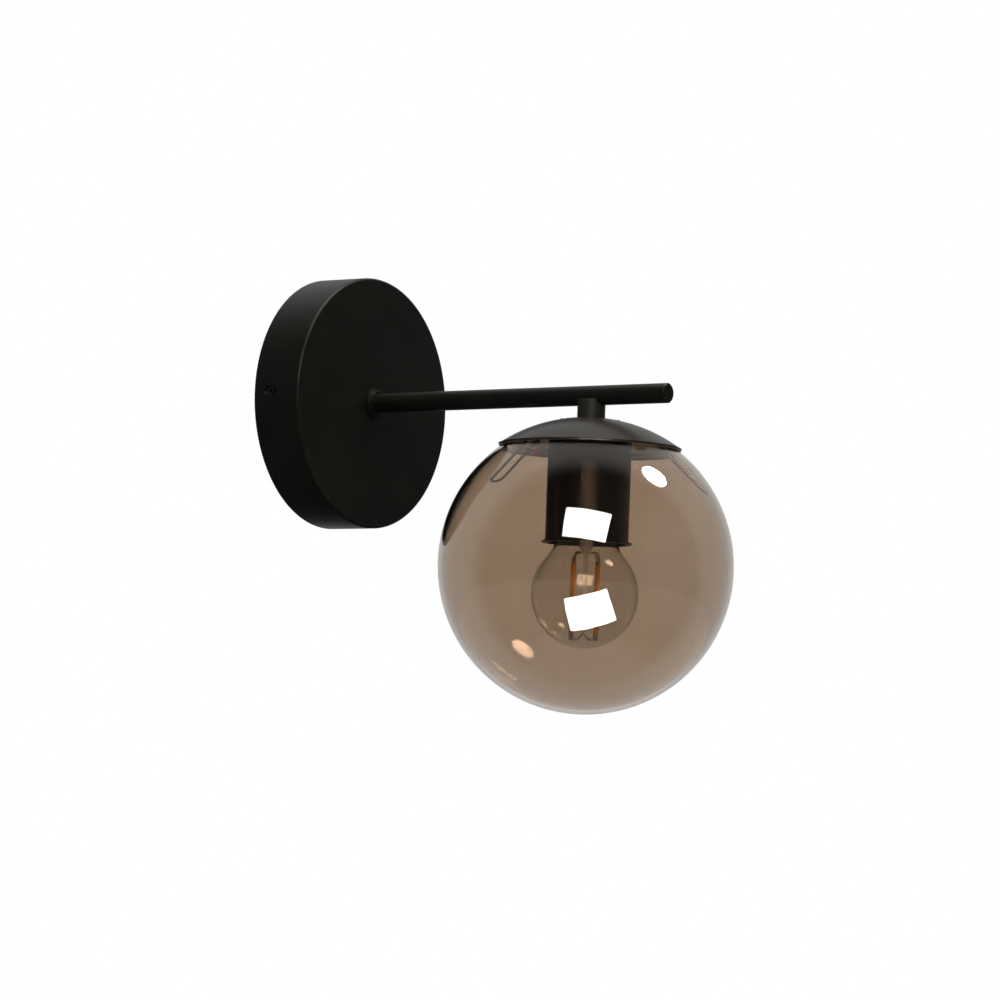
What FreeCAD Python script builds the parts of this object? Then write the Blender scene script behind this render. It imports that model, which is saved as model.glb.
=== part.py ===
"""Globe wall sconce: round canopy, straight arm, domed cap, glass globe and filament bulb.

Millimetres. +Z is up and the wall is the plane y = 0, with the lamp on its -Y side.
The origin is the centre of the canopy on the wall, and the arm lies along -Y.
Pieces of the lamp head are drawn about the centre of the globe and then placed there.
"""
import FreeCAD, Part
import math
import os
import re
import Sketcher

SIZES = {
    # canopy and what fixes it
    "canopy_radius": 66.0,
    "canopy_depth": 28.3,
    "canopy_wall": 1.2,
    "canopy_edge": 1.5,
    "side_slot_length": 7.5,
    "side_slot_width": 5.0,
    "side_screw_depth": 10.0,
    "side_screw_radius": 2.0,
    "side_screw_length": 7.0,
    "side_screw_proud": 1.75,
    "side_socket_radius": 1.1,
    "side_socket_depth": 2.1,
    "strap_width": 20.0,
    "strap_thickness": 1.5,
    "ear_length": 15.0,
    "ear_gap": 1.2,
    "wall_slot_spacing": 60.0,
    "wall_slot_length": 12.0,
    "wall_slot_width": 5.0,
    "cable_hole_radius": 6.0,
    "earth_place": 15.0,
    "earth_screw_radius": 2.0,
    "earth_head_radius": 4.0,
    "earth_head_height": 2.6,
    "earth_head_band": 1.3,
    "earth_head_crown": 2.8,
    "earth_washer_thickness": 0.8,
    "block_place": 15.0,
    "block_width": 14.0,
    "block_height": 28.0,
    "block_depth": 12.0,
    "block_hole_radius": 1.7,
    "block_hole_depth": 5.4,
    "block_pitch": 9.0,
    # arm
    "collar_radius": 7.7,
    "collar_length": 1.7,
    "collar_neck_radius": 6.5,
    "collar_neck_length": 1.5,
    "arm_radius": 5.1,
    "arm_wall": 1.0,
    "arm_overhang": 44.7,
    "end_cap_thickness": 1.4,
    "end_cap_chamfer": 0.5,
    "end_cap_spigot": 5.0,
    "lamp_reach": 165.5,
    "arm_nipple_bore": 2.9,
    "arm_nipple_grip": 16.0,
    "arm_nipple_tail": 9.0,
    "arm_washer_radius": 9.0,
    "arm_washer_thickness": 1.0,
    "arm_nut_flats": 13.0,
    "arm_nut_height": 4.0,
    # stem and domed cap
    "stem_radius": 7.15,
    "stem_drop": 11.7,
    "saddle_wrap": 3.0,
    "head_nipple_radius": 4.9,
    "head_nipple_bore": 3.5,
    "head_nipple_grip": 4.5,
    "dome_flatness": 5.0,
    "dome_wall": 0.8,
    "crown_gap": 0.3,
    "rim_radius": 46.4,
    "clip_slot_place": 17.0,
    "clip_slot_length": 4.4,
    "stud_place": 30.0,
    "stud_angle": 112.0,
    "stud_radius": 2.0,
    "stud_length": 8.0,
    "stud_nut_flats": 7.0,
    "stud_nut_height": 3.0,
    "terminal_radius": 4.2,
    "terminal_thickness": 0.8,
    "sleeve_radius": 1.9,
    "sleeve_length": 8.5,
    "sleeve_tilt": 35.0,
    "spacer_radius": 7.5,
    # globe
    "globe_radius": 75.0,
    "glass_wall": 2.0,
    "mouth_radius": 42.3,
    # spring clips
    "clip_wire": 0.6,
    "clip_width": 8.4,
    "clip_turn": 2.6,
    "clip_low": 37.5,
    "clip_first": 285.0,
    # lampholder
    "cup_radius": 21.2,
    "cup_wall": 0.8,
    "cup_gap": 3.0,
    "cup_length": 57.5,
    "cup_lip": 1.75,
    "cup_lip_thickness": 0.9,
    "holder_radius": 18.0,
    "holder_length": 41.0,
    "holder_floor": 4.2,
    "holder_grip": 7.0,
    "shell_wall": 0.35,
    "shell_length": 25.0,
    "shell_window": 8.0,
    "contact_width": 5.0,
    "contact_thickness": 0.4,
    "contact_reach": 6.8,
    # leads inside the light
    "lead_radius": 1.0,
    "lead_turn": 3.0,
    "lead_tail": 4.0,
    # bulb
    "cap_radius": 13.0,
    "cap_wall": 0.35,
    "cap_length": 22.0,
    "cap_taper": 3.0,
    "tip_radius": 4.6,
    "tip_height": 2.4,
    "insulator_radius": 8.0,
    "bulb_radius": 27.3,
    "bulb_drop": 42.3765,
    "bulb_shoulder_angle": 40.0,
    "bulb_neck_radius": 13.2,
    "bulb_glass": 0.7,
    "bulb_collar": 5.0,
    "mount_radius": 3.4,
    "mount_rod": 1.3,
    "mount_rod_drop": 62.0765,
    "mount_flare": 4.0,
    "filament_radius": 0.8,
    "filament_length": 38.0,
    "filament_spread": 8.8,
    "filament_drop": 25.7765,
    "filament_turn": 354.0,
    "support_wire": 0.35,
    # clearances
    "seat_gap": 0.1,
    "running_gap": 0.3,
}

document = FreeCAD.newDocument("globe_wall_sconce")
sheet = document.addObject("Spreadsheet::Sheet", "sizes")
for row, (name, value) in enumerate(SIZES.items(), start=1):
    sheet.set("A%d" % row, name)
    sheet.set("B%d" % row, str(value))
    sheet.setAlias("B%d" % row, name)
document.recompute()

probe = document.addObject("App::FeaturePython", "probe")
probe.addProperty("App::PropertyFloat", "answer")


def bound(formula):
    """The formula with each size name pointed at its cell in the sheet."""
    return re.sub(r"[a-z]+(?:_[a-z]+)+", lambda found: "sizes." + found.group(0), str(formula))


def number(formula):
    """What a formula of sizes comes to."""
    probe.setExpression("answer", bound(formula))
    probe.recompute()
    return probe.answer


# ---------------------------------------------------------------- worked-out places
DOME_RADIUS = "(globe_radius + dome_flatness)"
CROWN = "(globe_radius + crown_gap)"
SEAT = "(stem_radius + seat_gap * 5)"
DOME_CENTRE = f"({CROWN} - sqrt({DOME_RADIUS} ^ 2 - {SEAT} ^ 2))"
DOME_INNER = f"({DOME_RADIUS} - dome_wall)"
RIM_INNER = "(rim_radius - dome_wall)"
RIM_HEIGHT = f"sqrt((globe_radius + running_gap) ^ 2 - {RIM_INNER} ^ 2)"
MOUTH_HEIGHT = "sqrt(globe_radius ^ 2 - mouth_radius ^ 2)"
GLASS_INNER = "(globe_radius - glass_wall)"
HEAD_DROP = f"(stem_drop + {CROWN})"
ARM_END = "(lamp_reach + arm_overhang)"
CANOPY_INNER = "(canopy_depth - canopy_wall)"
EAR_FACE = "(canopy_radius - canopy_wall - ear_gap)"
ARM_BORE = "(arm_radius - arm_wall)"
ARM_NIPPLE = f"({ARM_BORE} - seat_gap)"
CUP_TOP = f"({DOME_CENTRE} + sqrt({DOME_INNER} ^ 2 - cup_radius ^ 2) - cup_gap)"
CUP_FOOT = f"({CUP_TOP} - cup_length)"
HOLDER_TOP = f"({CUP_TOP} - cup_wall)"
HOLDER_FOOT = f"({HOLDER_TOP} - holder_length)"
FLOOR_TOP = f"({HOLDER_TOP} - holder_grip)"
FLOOR = f"({FLOOR_TOP} - holder_floor)"
SHELL_BORE = "(cap_radius + running_gap)"
SHELL_OUTER = f"({SHELL_BORE} + shell_wall)"
TIP = f"({FLOOR} - contact_thickness * 3 - running_gap)"
CAP_TOP = f"({TIP} - tip_height)"
CAP_SHOULDER = f"({CAP_TOP} - cap_taper)"
CAP_FOOT = f"({CAP_SHOULDER} - cap_length)"
BULB_CENTRE = f"({CAP_FOOT} - bulb_drop)"
FILAMENT_TOP = f"({CAP_FOOT} - filament_drop)"
MOUNT_LOW = f"({CAP_FOOT} - mount_rod_drop)"
HEAD_HOLE = "(head_nipple_radius + seat_gap)"
NECK_TURN = ("((bulb_radius * cos(bulb_shoulder_angle) - bulb_neck_radius)"
             " / (1 - cos(bulb_shoulder_angle)))")
NECK_HEIGHT = f"((bulb_radius + {NECK_TURN}) * sin(bulb_shoulder_angle) + {BULB_CENTRE})"
HALF_ROUND = "half round"
CLIPS = 3
FILAMENTS = 4


# ---------------------------------------------------------------- drawing helpers
def plane(body, role):
    """The body's own origin plane of that role."""
    for feature in body.Origin.OriginFeatures:
        if feature.Role == role:
            return feature
    raise ValueError("no plane " + role)


def fixed(sketch, kind, piece, end, formula):
    """The distance of a point from the sketch's origin, bound to a formula of sizes."""
    index = sketch.addConstraint(Sketcher.Constraint(kind, -1, 1, piece, end, number(formula)))
    sketch.setExpression("Constraints[%d]" % index, bound(formula))


def rounded(sketch, piece, formula):
    """The radius of an arc or circle, bound to a formula of sizes."""
    index = sketch.addConstraint(Sketcher.Constraint("Radius", piece, number(formula)))
    sketch.setExpression("Constraints[%d]" % index, bound(formula))


def arc_between(start, end, radius, side):
    """The short arc from start to end; side is +1 with its centre on the left, -1 on the right."""
    chord = end - start
    height = math.sqrt(max(radius ** 2 - (chord.Length / 2) ** 2, 0.0))
    left = FreeCAD.Vector(-chord.y, chord.x, 0).normalize()
    centre = (start + end) * 0.5 + left * height * side
    return Part.Arc(start, centre - left * radius * side, end)


def outline(body, role, corners, name):
    """A closed outline on an origin plane.

    A corner is (across, up) for a straight side to the next corner, or
    (across, up, radius, side) for an arc to it. All are formulas of sizes.
    """
    sketch = body.newObject("Sketcher::SketchObject", name)
    sketch.AttachmentSupport = [(plane(body, role), "")]
    sketch.MapMode = "FlatFace"
    count = len(corners)
    spots = [FreeCAD.Vector(number(corner[0]), number(corner[1]), 0) for corner in corners]
    ends = []
    for index, corner in enumerate(corners):
        start = spots[index]
        end = spots[(index + 1) % count]
        if len(corner) == 2:
            sketch.addGeometry(Part.LineSegment(start, end))
        elif corner[2] == HALF_ROUND:
            sketch.addGeometry(arc_between(start, end, (end - start).Length / 2, corner[3]))
        else:
            sketch.addGeometry(arc_between(start, end, number(corner[2]), corner[3]))
        first = sketch.getPoint(index, 1)
        ends.append((1, 2) if first.distanceToPoint(start) < first.distanceToPoint(end) else (2, 1))
    for index in range(count):
        following = (index + 1) % count
        sketch.addConstraint(Sketcher.Constraint(
            "Coincident", index, ends[index][1], following, ends[following][0]))
    for index, corner in enumerate(corners):
        fixed(sketch, "DistanceX", index, ends[index][0], corner[0])
        fixed(sketch, "DistanceY", index, ends[index][0], corner[1])
        if len(corner) == 2:
            continue
        if corner[2] == HALF_ROUND:
            sketch.addConstraint(Sketcher.Constraint("Vertical", index, 3, index, ends[index][0]))
        else:
            rounded(sketch, index, corner[2])
    return sketch


def circle(body, role, across, up, radius, name):
    """A round outline on an origin plane, placed and sized by formulas."""
    sketch = body.newObject("Sketcher::SketchObject", name)
    sketch.AttachmentSupport = [(plane(body, role), "")]
    sketch.MapMode = "FlatFace"
    centre = FreeCAD.Vector(number(across), number(up), 0)
    sketch.addGeometry(Part.Circle(centre, FreeCAD.Vector(0, 0, 1), number(radius)))
    fixed(sketch, "DistanceX", 0, 3, across)
    fixed(sketch, "DistanceY", 0, 3, up)
    rounded(sketch, 0, radius)
    return sketch


def slot(across, up, half_length, half_width):
    """Corners of a slot with round ends that runs along the sketch's first axis."""
    reach = f"({half_length} - {half_width})"
    return [
        (f"{across} - {reach}", f"{up} - {half_width}"),
        (f"{across} + {reach}", f"{up} - {half_width}", HALF_ROUND, 1),
        (f"{across} + {reach}", f"{up} + {half_width}"),
        (f"{across} - {reach}", f"{up} + {half_width}", HALF_ROUND, 1),
    ]


def rectangle(across, up, half_length, half_width):
    """Corners of a rectangle about a centre."""
    return [
        (f"{across} - {half_length}", f"{up} - {half_width}"),
        (f"{across} + {half_length}", f"{up} - {half_width}"),
        (f"{across} + {half_length}", f"{up} + {half_width}"),
        (f"{across} - {half_length}", f"{up} + {half_width}"),
    ]


def new_body(label):
    return document.addObject("PartDesign::Body", label)


def placed(thing, across="0", along="0", up="0"):
    """Bind where a sub-part stands."""
    thing.setExpression("Placement.Base.x", bound(across))
    thing.setExpression("Placement.Base.y", bound(along))
    thing.setExpression("Placement.Base.z", bound(up))
    return thing


def on_head(thing):
    """Place a piece that is drawn about the centre of the globe."""
    return placed(thing, "0", "-lamp_reach", f"-{HEAD_DROP}")


def spun(body, corners, axis, name="turned"):
    """A solid of revolution from an outline beside an axis of the YZ plane."""
    sketch = outline(body, "YZ_Plane", corners, name + "_outline")
    turn = body.newObject("PartDesign::Revolution", name)
    turn.Profile = sketch
    turn.ReferenceAxis = (sketch, [axis])
    turn.Angle = 360
    return turn


def along_arm(label, corners):
    """A piece turned about the arm's axis; corners are (distance from the wall, radius)."""
    body = new_body(label)
    spun(body, [(f"-({corner[0]})",) + tuple(corner[1:]) for corner in corners], "H_Axis")
    return body


def about_head(label, corners):
    """A piece turned about the lamp's axis; corners are (radius, height over the globe's centre)."""
    body = new_body(label)
    spun(body, corners, "V_Axis")
    return on_head(body)


def pushed(body, kind, sketch, length, name, reverse=False, both=False):
    """A Pad or Pocket of a sketch; both makes it run the same way each side."""
    feature = body.newObject("PartDesign::" + kind, name)
    feature.Profile = sketch
    if length is None:
        feature.Type = "ThroughAll"
    else:
        feature.setExpression("Length", bound(length))
    feature.SideType = "Symmetric" if both else "One side"
    feature.Reversed = reverse
    return feature


def cut_through(body, sketch, name):
    """A Pocket both ways through the whole body."""
    document.recompute()
    before = body.Shape.Volume
    pushed(body, "Pocket", sketch, None, name, both=True)
    document.recompute()
    if not body.Shape.Volume < before:
        raise ValueError(name + " cuts nothing")


def ring(label, inner, outer, near, far):
    """A plain ring about the arm's axis between two distances from the wall."""
    return along_arm(label, [(near, inner), (near, outer), (far, outer), (far, inner)])


# ---------------------------------------------------------------- canopy and wall fixing
def make_canopy():
    """Spun steel cup, open to the wall, with a small round front edge and two side slots."""
    body = along_arm("canopy", [
        ("0", "canopy_radius - canopy_wall"),
        ("0", "canopy_radius"),
        ("canopy_depth - canopy_edge", "canopy_radius", "canopy_edge", 1),
        ("canopy_depth", "canopy_radius - canopy_edge"),
        ("canopy_depth", f"{ARM_NIPPLE} + seat_gap"),
        (CANOPY_INNER, f"{ARM_NIPPLE} + seat_gap"),
        (CANOPY_INNER, "canopy_radius - canopy_wall"),
    ])
    slots = outline(body, "YZ_Plane", slot("-side_screw_depth", "0", "(side_slot_length / 2)",
                                           "(side_slot_width / 2)"), "side_slot")
    cut_through(body, slots, "side_slots")


def make_bracket():
    """Flat strap on the wall with two ears bent forward inside the canopy."""
    body = new_body("mounting_bracket")
    strap = outline(body, "XY_Plane", [
        (f"-{EAR_FACE}", "0"),
        (f"-{EAR_FACE}", "-ear_length"),
        (f"-{EAR_FACE} + strap_thickness", "-ear_length"),
        (f"-{EAR_FACE} + strap_thickness", "-strap_thickness"),
        (f"{EAR_FACE} - strap_thickness", "-strap_thickness"),
        (f"{EAR_FACE} - strap_thickness", "-ear_length"),
        (EAR_FACE, "-ear_length"),
        (EAR_FACE, "0"),
    ], "strap_outline")
    pushed(body, "Pad", strap, "strap_width", "strap", both=True)
    for side, place in (("left", "-wall_slot_spacing / 2"), ("right", "wall_slot_spacing / 2")):
        corners = slot(place, "0", "(wall_slot_length / 2)", "(wall_slot_width / 2)")
        cut_through(body, outline(body, "XZ_Plane", corners, side + "_wall_slot"), side + "_wall_cut")
    rounds = (
        ("cable", "XZ_Plane", "0", "0", "cable_hole_radius"),
        ("earth", "XZ_Plane", "-earth_place", "0", "earth_screw_radius + seat_gap"),
        ("side", "YZ_Plane", "-side_screw_depth", "0", "side_screw_radius + seat_gap"),
    )
    for name, role, across, up, radius in rounds:
        cut_through(body, circle(body, role, across, up, radius, name + "_hole"), name + "_cut")


def part(kind, name, **sizes):
    """A Part primitive with its sizes bound to formulas."""
    piece = document.addObject("Part::" + kind, name)
    for key, formula in sizes.items():
        piece.setExpression(key, bound(formula))
    return piece


def joined(kind, name, base, tool):
    """A Part::Cut or Part::Common of two pieces."""
    piece = document.addObject("Part::" + kind, name)
    piece.Base = base
    piece.Tool = tool
    return piece


def grouped(name, pieces):
    """One sub-part of several separate solids."""
    group = document.addObject("Part::Compound", name)
    group.Links = pieces
    return group


def make_side_screws():
    """Two headless screws in the ears, each with a hexagon socket, seated in the canopy's slots."""
    inner = f"({EAR_FACE} + side_screw_proud - side_screw_length)"
    screws = []
    for hand, side in ((-1, "left"), (1, "right")):
        screw = part("Cylinder", side + "_screw", Radius="side_screw_radius", Height="side_screw_length")
        socket = part("Prism", side + "_socket",
                      Circumradius="side_socket_radius", Height="side_socket_depth")
        facing = FreeCAD.Rotation(FreeCAD.Vector(0, 1, 0), 90 * hand)
        for piece in (screw, socket):
            piece.Placement = FreeCAD.Placement(FreeCAD.Vector(), facing)
        placed(screw, f"{hand} * {inner}", "-side_screw_depth")
        placed(socket, f"{hand} * ({inner} + side_screw_length - side_socket_depth)", "-side_screw_depth")
        screws.append(joined("Cut", side + "_socket_screw", screw, socket))
    grouped("canopy_side_screws", screws)


def hexagon(body, flats, name):
    """A hexagonal outline on the XZ plane from its size across flats."""
    point = f"({flats} / sqrt(3))"
    half = f"({flats} / 2)"
    return outline(body, "XZ_Plane", [
        (f"-{point} / 2", f"-{half}"),
        (f"{point} / 2", f"-{half}"),
        (point, "0"),
        (f"{point} / 2", half),
        (f"-{point} / 2", half),
        (f"-{point}", "0"),
    ], name)


def make_earth_screw():
    """Pan-head earth screw and its washer on the strap."""
    head = "(strap_thickness + earth_washer_thickness)"
    washer = ring("earth_washer", "earth_screw_radius + seat_gap", "earth_head_radius + seat_gap * 5",
                  "strap_thickness", head)
    placed(washer, "-earth_place")
    screw = along_arm("earth_screw", [
        ("seat_gap", "0"),
        ("seat_gap", "earth_screw_radius"),
        (head, "earth_screw_radius"),
        (head, "earth_head_radius"),
        (f"{head} + earth_head_band", "earth_head_radius"),
        (f"{head} + earth_head_height", "earth_head_crown"),
        (f"{head} + earth_head_height", "0"),
    ])
    placed(screw, "-earth_place")


def make_terminal_block():
    """Three-way terminal block on the strap, with a through bore for each lead."""
    body = new_body("terminal_block")
    face = outline(body, "XZ_Plane",
                   rectangle("0", "0", "(block_width / 2)", "(block_height / 2)"), "block_face")
    pushed(body, "Pad", face, "block_depth", "block")
    for index in (-1, 0, 1):
        bore = circle(body, "YZ_Plane", "-block_hole_depth", f"block_pitch * {index}",
                      "block_hole_radius", "lead_bore_%d" % (index + 1))
        cut_through(body, bore, "lead_cut_%d" % (index + 1))
    placed(body, "block_place", "-strap_thickness")


# ---------------------------------------------------------------- arm
def make_arm():
    """Straight tube with a stepped collar on the canopy, a chamfered end cap and its inner fixings."""
    neck = "(canopy_depth + collar_length)"
    sleeve = "(arm_radius + seat_gap)"
    along_arm("arm_collar", [
        ("canopy_depth", sleeve),
        ("canopy_depth", "collar_radius"),
        (neck, "collar_radius"),
        (neck, "collar_neck_radius"),
        (f"{neck} + collar_neck_length", "collar_neck_radius"),
        (f"{neck} + collar_neck_length", sleeve),
    ])
    tube = ring("arm_tube", ARM_BORE, "arm_radius", "canopy_depth", ARM_END)
    document.recompute()
    before = tube.Shape.Volume
    hole = circle(tube, "XY_Plane", "0", "-lamp_reach", "head_nipple_bore", "lead_hole")
    pushed(tube, "Pocket", hole, "arm_radius * 1.2", "lead_hole_cut")
    document.recompute()
    if not (tube.Shape.Volume < before and tube.Shape.Solids[0].CenterOfMass.z > 0):
        raise ValueError("the lead hole isn't in the underside of the arm")
    along_arm("arm_end_cap", [
        (f"{ARM_END} - end_cap_spigot", "0"),
        (f"{ARM_END} - end_cap_spigot", ARM_NIPPLE),
        (ARM_END, ARM_NIPPLE),
        (ARM_END, "arm_radius"),
        (f"{ARM_END} + end_cap_thickness - end_cap_chamfer", "arm_radius"),
        (f"{ARM_END} + end_cap_thickness", "arm_radius - end_cap_chamfer"),
        (f"{ARM_END} + end_cap_thickness", "0"),
    ])
    ring("arm_nipple", "arm_nipple_bore", ARM_NIPPLE,
         f"{CANOPY_INNER} - arm_nipple_tail", "canopy_depth + arm_nipple_grip")
    ring("arm_washer", f"{ARM_NIPPLE} + seat_gap", "arm_washer_radius",
         f"{CANOPY_INNER} - arm_washer_thickness", CANOPY_INNER)
    nut = new_body("arm_lock_nut")
    pushed(nut, "Pad", hexagon(nut, "arm_nut_flats", "nut_outline"), "arm_nut_height", "nut")
    bore = circle(nut, "XZ_Plane", "0", "0", f"{ARM_NIPPLE} + seat_gap", "nut_bore")
    cut_through(nut, bore, "nut_bore_cut")
    placed(nut, "0", f"arm_washer_thickness + arm_nut_height - {CANOPY_INNER}")


# ---------------------------------------------------------------- stem and domed cap
def make_stem():
    """Short tube whose top is coped to wrap the lower half of the arm, and the threaded nipple in it."""
    stem = new_body("stem")
    top = "(saddle_wrap - arm_radius)"
    spun(stem, [
        (HEAD_HOLE, "-stem_drop"),
        ("stem_radius", "-stem_drop"),
        ("stem_radius", top),
        (HEAD_HOLE, top),
    ], "V_Axis")
    cut_through(stem, circle(stem, "XZ_Plane", "0", "0", "arm_radius + seat_gap", "saddle"), "saddle_cut")
    placed(stem, "0", "-lamp_reach")
    about_head("head_nipple", [
        ("head_nipple_bore", f"{FLOOR_TOP} + seat_gap"),
        ("head_nipple_radius", f"{FLOOR_TOP} + seat_gap"),
        ("head_nipple_radius", f"{CROWN} + head_nipple_grip"),
        ("head_nipple_bore", f"{CROWN} + head_nipple_grip"),
    ])
    about_head("head_spacer", [
        (HEAD_HOLE, CUP_TOP),
        ("spacer_radius", CUP_TOP),
        ("spacer_radius", f"{CROWN} - dome_wall"),
        (HEAD_HOLE, f"{CROWN} - dome_wall"),
    ])


def make_dome():
    """Spun cap over the globe's mouth, with a flat seat for the stem and a slot for each clip."""
    dome = about_head("dome_cap", [
        (HEAD_HOLE, CROWN),
        (SEAT, CROWN, DOME_RADIUS, -1),
        ("rim_radius", f"{DOME_CENTRE} + sqrt({DOME_RADIUS} ^ 2 - rim_radius ^ 2)"),
        ("rim_radius", RIM_HEIGHT),
        (RIM_INNER, RIM_HEIGHT),
        (RIM_INNER, f"{DOME_CENTRE} + sqrt({DOME_INNER} ^ 2 - {RIM_INNER} ^ 2)", DOME_INNER, 1),
        (SEAT, f"{CROWN} - dome_wall"),
        (HEAD_HOLE, f"{CROWN} - dome_wall"),
    ])
    slots = outline(dome, "XY_Plane", rectangle("clip_slot_place", "0", "(clip_slot_length / 2)",
                                                "(clip_width / 2 + clip_wire * 2)"), "clip_slot")
    cut_through(dome, slots, "clip_slot_cut")
    pattern = dome.newObject("PartDesign::PolarPattern", "clip_slots")
    pattern.Originals = [dome.getObject("clip_slot_cut")]
    pattern.Axis = (slots, ["N_Axis"])
    pattern.Angle = 360
    pattern.Occurrences = CLIPS
    dome.Tip = pattern
    dome.Placement = FreeCAD.Placement(FreeCAD.Vector(), FreeCAD.Rotation(FreeCAD.Vector(0, 0, 1),
                                                                         number("clip_first")))


def rounded_path(corners, turn):
    """A wire of straight runs through the corners, with an arc of one radius at each inner corner."""
    edges = []
    last = corners[0]
    for before, corner, after in zip(corners, corners[1:], corners[2:]):
        back = (before - corner).normalize()
        onward = (after - corner).normalize()
        half = back.getAngle(onward) / 2
        setback = turn / math.tan(half)
        start = corner + back * setback
        end = corner + onward * setback
        inward = (back + onward).normalize()
        crest = corner + inward * (turn / math.sin(half) - turn)
        edges.append(Part.makeLine(last, start))
        edges.append(Part.Arc(start, crest, end).toShape())
        last = end
    edges.append(Part.makeLine(last, corners[-1]))
    return Part.Wire(edges)


def swept(corners, turn, radius):
    """A round wire of a radius along a rounded path."""
    path = rounded_path(corners, turn)
    heading = (corners[1] - corners[0]).normalize()
    section = Part.Wire(Part.makeCircle(radius, corners[0], heading))
    return path.makePipeShell([section], True, False)


def head_feature(label, shape):
    """A sub-part of free shape, drawn about the centre of the globe."""
    piece = document.addObject("Part::Feature", label)
    piece.Shape = shape
    return on_head(piece)


def make_clips():
    """Three spring wires: each comes in through its slot, runs under the dome, passes the globe's
    mouth and ends in a loop that presses outwards on the inside of the glass."""
    wire = number("clip_wire")
    half = number("clip_width / 2")
    clear = number("clip_wire + running_gap")
    inner = number(DOME_INNER) - clear
    centre = number(DOME_CENTRE)
    glass = number(GLASS_INNER) - clear
    mouth_height = number(MOUTH_HEIGHT)
    low = number("clip_low")

    def under_dome(radius):
        return centre + math.sqrt(inner ** 2 - radius ** 2)

    start = number("clip_slot_place - clip_slot_length / 2 + clip_wire + running_gap")
    bend = number("clip_slot_place + clip_slot_length / 2")
    knee = math.sqrt(glass ** 2 - mouth_height ** 2) - wire
    flat = bend + (knee - bend) * 0.6
    profile = (
        (start, number(f"{DOME_CENTRE} + sqrt({DOME_RADIUS} ^ 2 - clip_slot_place ^ 2)")),
        (bend, under_dome(bend)),
        (flat, under_dome(flat)),
        (knee, mouth_height),
        (math.sqrt(glass ** 2 - low ** 2), low),
    )
    down = [FreeCAD.Vector(out, half, height) for out, height in profile]
    back = [FreeCAD.Vector(out, -half, height) for out, height in reversed(profile)]
    loops = []
    for index in range(CLIPS):
        loop = swept(down + back, number("clip_turn"), wire)
        loop.rotate(FreeCAD.Vector(), FreeCAD.Vector(0, 0, 1), number("clip_first") + 360 / CLIPS * index)
        loops.append(loop)
    head_feature("spring_clips", Part.makeCompound(loops))


def at_stud(shape):
    """Turn a shape drawn at the +X side to where the dome's earth stud stands."""
    shape.rotate(FreeCAD.Vector(), FreeCAD.Vector(0, 0, 1), number("stud_angle"))
    return shape


def make_dome_earth():
    """Welded stud under the dome, its nut, and a ring terminal with an insulating sleeve."""
    place = number("stud_place")
    radius = number("stud_radius")
    hole = number("stud_radius + seat_gap")
    dome = number(f"{DOME_INNER} - seat_gap")
    surface = number(DOME_CENTRE) + math.sqrt(dome ** 2 - (place + radius) ** 2)
    foot = surface - number("stud_length")
    axis = FreeCAD.Vector(0, 0, 1)
    blank = Part.makeCylinder(radius, number("stud_length") * 1.5, FreeCAD.Vector(place, 0, foot), axis)
    inside = Part.makeSphere(dome, FreeCAD.Vector(0, 0, number(DOME_CENTRE)))
    head_feature("dome_earth_stud", at_stud(blank.common(inside)))
    thickness = number("terminal_thickness")
    nut_height = number("stud_nut_height")
    nut_foot = foot + radius * 0.5
    corner = number("stud_nut_flats / sqrt(3)")
    corners = [FreeCAD.Vector(place + corner * math.cos(math.radians(60 * turn)),
                              corner * math.sin(math.radians(60 * turn)), nut_foot) for turn in range(7)]
    nut = Part.Face(Part.makePolygon(corners)).extrude(FreeCAD.Vector(0, 0, nut_height))
    bore = Part.makeCylinder(hole, nut_height, FreeCAD.Vector(place, 0, nut_foot), axis)
    head_feature("dome_earth_nut", at_stud(nut.cut(bore)))
    ring_foot = FreeCAD.Vector(place, 0, nut_foot + nut_height)
    eye = Part.makeCylinder(number("terminal_radius"), thickness, ring_foot, axis)
    eye = eye.cut(Part.makeCylinder(hole, thickness, ring_foot, axis))
    head_feature("earth_ring_terminal", at_stud(eye))
    tilt = math.radians(number("sleeve_tilt"))
    heading = FreeCAD.Vector(0, -math.cos(tilt), -math.sin(tilt))
    sleeve_reach = number("terminal_radius + seat_gap * 2 + sleeve_radius * sin(sleeve_tilt)")
    sleeve_start = ring_foot + FreeCAD.Vector(0, -sleeve_reach, thickness / 2)
    sleeve = Part.makeCylinder(number("sleeve_radius"), number("sleeve_length"), sleeve_start, heading)
    head_feature("earth_sleeve", at_stud(sleeve))


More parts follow.
